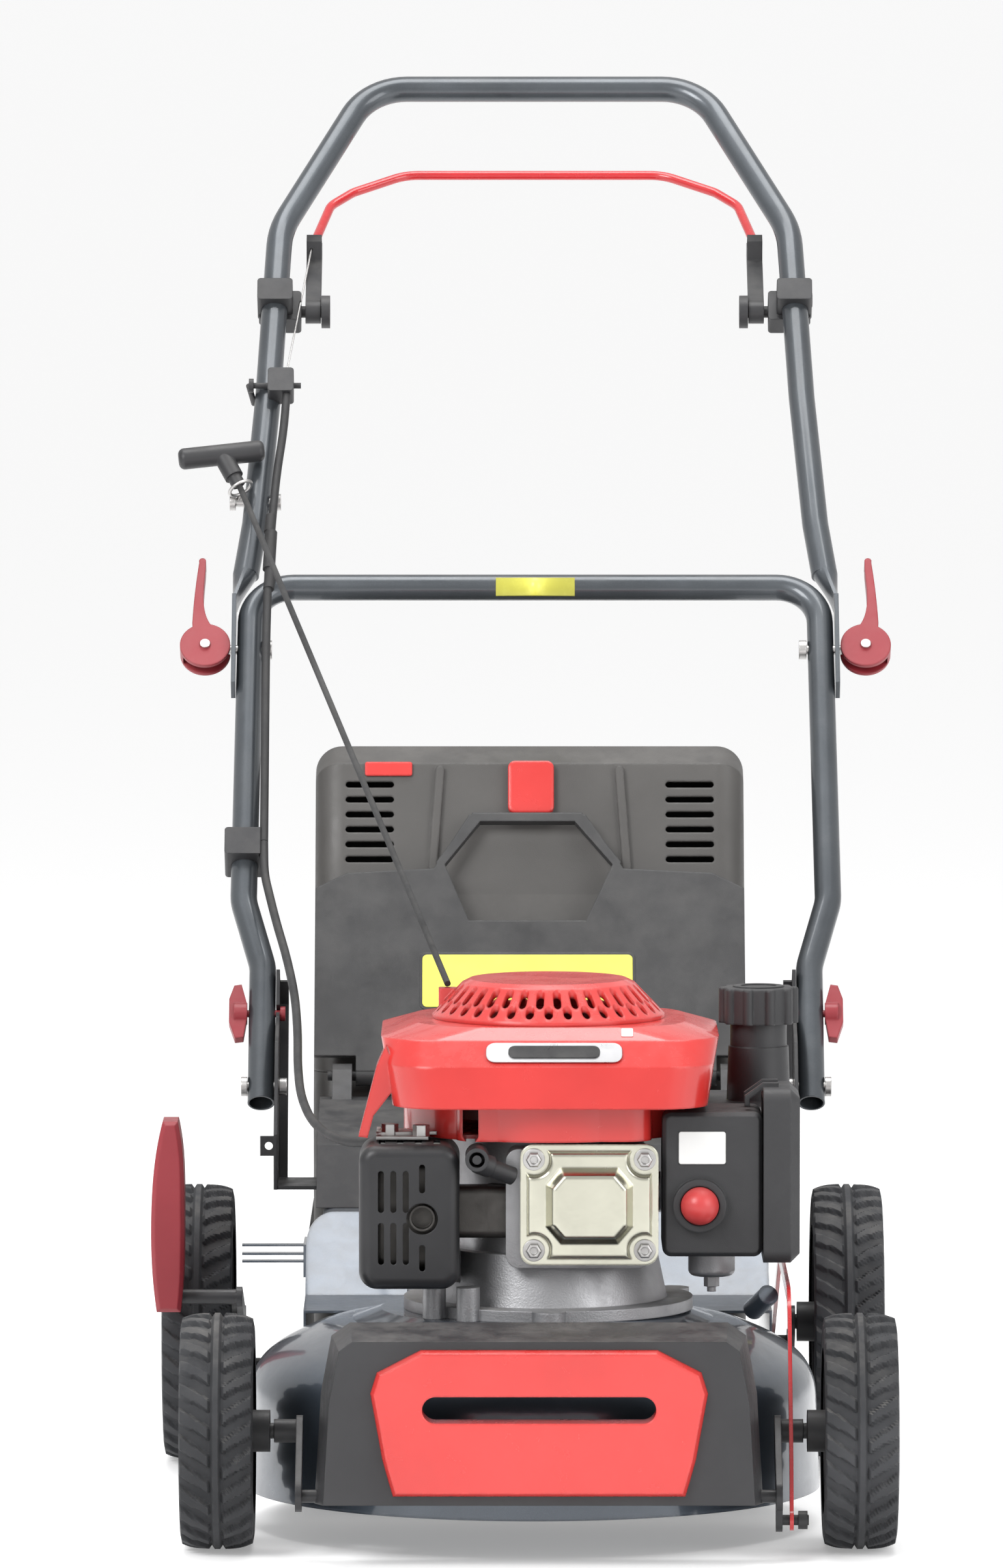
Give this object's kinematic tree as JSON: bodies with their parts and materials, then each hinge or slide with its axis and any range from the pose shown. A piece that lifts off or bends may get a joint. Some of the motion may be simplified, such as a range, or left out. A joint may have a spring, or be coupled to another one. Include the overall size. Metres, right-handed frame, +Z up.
{
  "type": "push lawn mower",
  "caption": "Hand-pushed petrol lawn mower with steel deck, four wheels on linked height-setting axles, folding handle, stop bail and rear grass catcher.",
  "frame": {"origin": "on the ground, under the middle of the mower's overall width and length", "axes": "+Z up; -Y is the front, where the bumper is; the handle rises to +Y; +X is the side with the air filter"},
  "size_m": [0.603, 1.4712, 1.1064],
  "materials": {
    "tyre": "matt moulded",
    "black_plastic": "satin moulded",
    "steel": "zinc plated",
    "deck_paint": "gloss metallic",
    "black_steel": "semi-matt paint",
    "cast_aluminium": "cast",
    "bright_metal": "bright plated",
    "filter_black": "fine grain",
    "rubber": "matt",
    "red_plastic": "gloss moulded",
    "red_rubber": "satin",
    "handle_paint": "metallic",
    "red_paint": "gloss",
    "lever_red": "satin",
    "flap_grey": "satin",
    "catcher_grey": "grained",
    "rope": "braided"
  },
  "bodies": {
    "mower": {"deck": "deck_paint", "front_bumper": "black_plastic", "bumper_panel": "red_plastic", "rear_housing": "black_plastic", "handle_brackets": "black_steel", "engine_block": "cast_aluminium", "valve_cover": "bright_metal", "valve_cover_bolts": "steel", "blower_housing": "red_plastic", "engine_cowl": "red_plastic", "recoil_grille": "red_plastic", "muffler": "steel", "muffler_guard": "black_steel", "spark_plug_cap": "black_plastic", "air_filter_box": "filter_black", "carburettor": "cast_aluminium", "fuel_tank": "black_plastic", "brake_bracket": "steel", "brake_cable_lower": "rubber", "starter_rope_lower": "rope"},
    "crank": {"crankshaft": "steel", "flywheel": "cast_aluminium", "blade": "steel"},
    "front_axle": {"front_axle": "black_steel"},
    "rear_axle": {"rear_axle": "black_steel", "height_grip": "lever_red"},
    "link_rod": {"link_rod": "red_paint"},
    "primer": {"primer_bulb": "red_rubber"},
    "filter_cover": {"air_filter_cover": "filter_black"},
    "fuel_cap": {"fuel_cap": "filter_black"},
    "lower_handle": {"lower_handle": "handle_paint", "handle_bolts": "steel", "cable_clip": "black_plastic", "brake_cable_upper": "rubber"},
    "wing_knob_left": {"wing_knob_left": "lever_red"},
    "wing_knob_right": {"wing_knob_right": "lever_red"},
    "quick_release_left": {"quick_release_left": "lever_red"},
    "quick_release_right": {"quick_release_right": "lever_red"},
    "upper_handle": {"upper_handle": "handle_paint", "bail_brackets": "black_plastic", "cable_stop": "black_plastic", "rope_guide": "steel", "cable_wire": "steel", "starter_rope_upper": "rope"},
    "bail": {"bail": "red_paint", "bail_arms": "black_plastic"},
    "starter_grip": {"starter_grip": "black_plastic"},
    "flap": {"rear_flap": "flap_grey"},
    "catcher": {"catcher_basket": "catcher_grey", "catcher_top": "catcher_grey"},
    "latch": {"catcher_latch": "red_plastic"},
    "level_indicator": {"level_indicator": "red_plastic"},
    "wheel_front_left": {"tyre_front_left": "tyre", "rim_front_left": "black_plastic"},
    "wheel_front_right": {"tyre_front_right": "tyre", "rim_front_right": "black_plastic"},
    "wheel_rear_left": {"tyre_rear_left": "tyre", "rim_rear_left": "black_plastic"},
    "wheel_rear_right": {"tyre_rear_right": "tyre", "rim_rear_right": "black_plastic"}
  },
  "joints": [
    {"name": "height_rear", "type": "hinge", "parent": "mower", "child": "rear_axle", "pos_m": [0, -0.006, 0.0695], "axis": [1, 0, 0], "range_deg": [0, 36]},
    {"name": "height_front", "type": "hinge", "parent": "mower", "child": "front_axle", "pos_m": [0, -0.67, 0.0485], "axis": [1, 0, 0], "range_deg": [-36, 0]},
    {"name": "link_pin", "type": "hinge", "parent": "front_axle", "child": "link_rod", "pos_m": [0, -0.66382, 0.02948], "axis": [1, 0, 0], "range_deg": [0, 36]},
    {"name": "spin_front_left", "type": "hinge", "parent": "front_axle", "child": "wheel_front_left", "pos_m": [-0.2445, -0.608, 0.0905], "axis": [1, 0, 0], "continuous": true},
    {"name": "spin_front_right", "type": "hinge", "parent": "front_axle", "child": "wheel_front_right", "pos_m": [0.2445, -0.608, 0.0905], "axis": [1, 0, 0], "continuous": true},
    {"name": "spin_rear_left", "type": "hinge", "parent": "rear_axle", "child": "wheel_rear_left", "pos_m": [-0.272, -0.068, 0.1115], "axis": [1, 0, 0], "continuous": true},
    {"name": "spin_rear_right", "type": "hinge", "parent": "rear_axle", "child": "wheel_rear_right", "pos_m": [0.25, -0.068, 0.1115], "axis": [1, 0, 0], "continuous": true},
    {"name": "crank_spin", "type": "hinge", "parent": "mower", "child": "crank", "pos_m": [0.008, -0.438, 0.1], "axis": [0, 0, 1], "continuous": true},
    {"name": "primer_press", "type": "slide", "parent": "mower", "child": "primer", "axis": [0, 1, 0], "range_m": [0, 0.006], "stiffness_N_per_m": 900},
    {"name": "filter_cover_off", "type": "slide", "parent": "mower", "child": "filter_cover", "axis": [1, 0, 0], "range_m": [0, 0.05]},
    {"name": "fuel_cap_turn", "type": "hinge", "parent": "mower", "child": "fuel_cap", "pos_m": [0.172, -0.378, 0.395], "axis": [0, 0, 1], "continuous": true},
    {"name": "handle_fold", "type": "hinge", "parent": "mower", "child": "lower_handle", "pos_m": [0, 0.034, 0.292], "axis": [1, 0, 0], "range_deg": [0, 100], "deforming": ["starter_rope_lower", "brake_cable_lower"]},
    {"name": "upper_fold", "type": "hinge", "parent": "lower_handle", "child": "upper_handle", "pos_m": [0, 0.29997, 0.63242], "axis": [1, 0, 0], "range_deg": [-100, 0], "deforming": ["starter_rope_upper", "brake_cable_upper"]},
    {"name": "wing_knob_left_turn", "type": "hinge", "parent": "lower_handle", "child": "wing_knob_left", "pos_m": [-0.24, 0.0774, 0.34756], "axis": [1, 0, 0], "continuous": true},
    {"name": "wing_knob_right_turn", "type": "hinge", "parent": "lower_handle", "child": "wing_knob_right", "pos_m": [0.24, 0.0774, 0.34756], "axis": [1, 0, 0], "continuous": true},
    {"name": "quick_release_left_lever", "type": "hinge", "parent": "lower_handle", "child": "quick_release_left", "pos_m": [-0.2756, 0.29997, 0.63242], "axis": [0, -0.788, 0.6157], "range_deg": [0, 100]},
    {"name": "quick_release_right_lever", "type": "hinge", "parent": "lower_handle", "child": "quick_release_right", "pos_m": [0.2756, 0.29997, 0.63242], "axis": [0, 0.788, -0.6157], "range_deg": [0, 100]},
    {"name": "bail_pull", "type": "hinge", "parent": "upper_handle", "child": "bail", "pos_m": [0, 0.53623, 0.90721], "axis": [1, 0, 0], "range_deg": [0, 21.5], "stiffness_Nm_per_rad": 3, "springref_deg": -20.05, "deforming": ["cable_wire"]},
    {"name": "starter_pull", "type": "slide", "parent": "upper_handle", "child": "starter_grip", "axis": [-0.4439, 0.4687, 0.7637], "range_m": [0, 0.6], "stiffness_N_per_m": 12, "springref_m": -1.2},
    {"name": "rear_flap_lift", "type": "hinge", "parent": "mower", "child": "flap", "pos_m": [0, 0.042, 0.3], "axis": [1, 0, 0], "range_deg": [0, 35]},
    {"name": "catcher_off", "type": "slide", "parent": "mower", "child": "catcher", "axis": [0, 1, 0], "range_m": [0, 0.25]},
    {"name": "latch_lift", "type": "hinge", "parent": "catcher", "child": "latch", "pos_m": [-0.004, 0.1877, 0.5469], "axis": [1, 0, 0], "range_deg": [-25, 0], "stiffness_Nm_per_rad": 0.4, "springref_deg": 11.46},
    {"name": "level_indicator_swing", "type": "hinge", "parent": "catcher", "child": "level_indicator", "pos_m": [-0.1215, 0.1909, 0.546], "axis": [1, 0, 0], "range_deg": [-20, 0]}
  ],
  "couplings": [
    {"joint": "height_front", "follows": "height_rear", "ratio": -1},
    {"joint": "link_pin", "follows": "height_rear", "ratio": 1}
  ]
}
